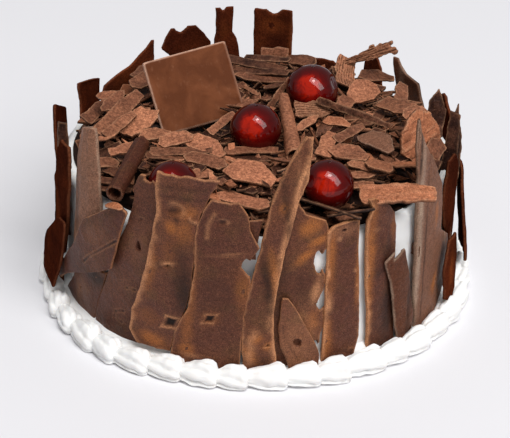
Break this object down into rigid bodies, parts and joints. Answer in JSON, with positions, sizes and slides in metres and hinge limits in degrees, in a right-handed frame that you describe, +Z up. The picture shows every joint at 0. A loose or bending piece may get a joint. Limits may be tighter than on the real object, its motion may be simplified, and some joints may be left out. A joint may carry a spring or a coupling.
{
  "type": "black forest cake",
  "caption": "Round black forest cake covered in cream, fenced with standing chocolate shards and topped with shavings, cherries and a plain chocolate plaque.",
  "frame": {"origin": "centre of the cake's underside, on the surface it stands on", "axes": "+Z up through the cake's middle, -Y towards the front, where the cherry next to the long leaning shard is, +X to the right seen from the front"},
  "size_m": [0.2264, 0.2265, 0.125],
  "materials": {
    "cream": "satin",
    "dark_chocolate": "satin",
    "milk_chocolate": "satin",
    "shavings": "matte",
    "cherry": "gloss"
  },
  "bodies": {
    "root": {"cake": "cream", "cream_border": "cream", "shaving_heap": "shavings", "plaque": "milk_chocolate", "shard_01": "dark_chocolate", "shard_02": "dark_chocolate", "shard_03": "dark_chocolate", "shard_04": "dark_chocolate", "shard_05": "dark_chocolate", "shard_06": "dark_chocolate", "shard_07": "dark_chocolate", "shard_08": "dark_chocolate", "shard_09": "dark_chocolate", "shard_10": "dark_chocolate", "shard_11": "dark_chocolate", "shard_12": "dark_chocolate", "shard_13": "dark_chocolate", "shard_14": "dark_chocolate", "shard_15": "dark_chocolate", "shard_16": "dark_chocolate", "shard_17": "dark_chocolate", "shard_18": "dark_chocolate", "shard_19": "dark_chocolate", "shard_20": "dark_chocolate", "shard_21": "dark_chocolate", "shard_22": "dark_chocolate", "shard_23": "dark_chocolate", "shard_24": "dark_chocolate", "shard_25": "dark_chocolate", "shard_26": "dark_chocolate", "shard_27": "dark_chocolate", "shard_28": "dark_chocolate", "shard_29": "dark_chocolate", "shard_30": "dark_chocolate", "shard_31": "dark_chocolate", "shard_32": "dark_chocolate", "shard_33": "dark_chocolate", "shard_34": "dark_chocolate", "shard_35": "dark_chocolate", "shard_36": "dark_chocolate", "cherry_a": "cherry", "cherry_b": "cherry", "cherry_c": "cherry", "cherry_d": "cherry", "roll_a": "dark_chocolate", "roll_b": "dark_chocolate", "curl_c": "milk_chocolate", "curl_a": "milk_chocolate", "curl_b": "milk_chocolate", "flake_a": "milk_chocolate", "flake_b": "milk_chocolate", "flake_c": "milk_chocolate", "flake_d": "milk_chocolate", "flake_e": "milk_chocolate", "flake_f": "milk_chocolate", "flake_g": "milk_chocolate", "flake_h": "milk_chocolate"}
  },
  "joints": []
}
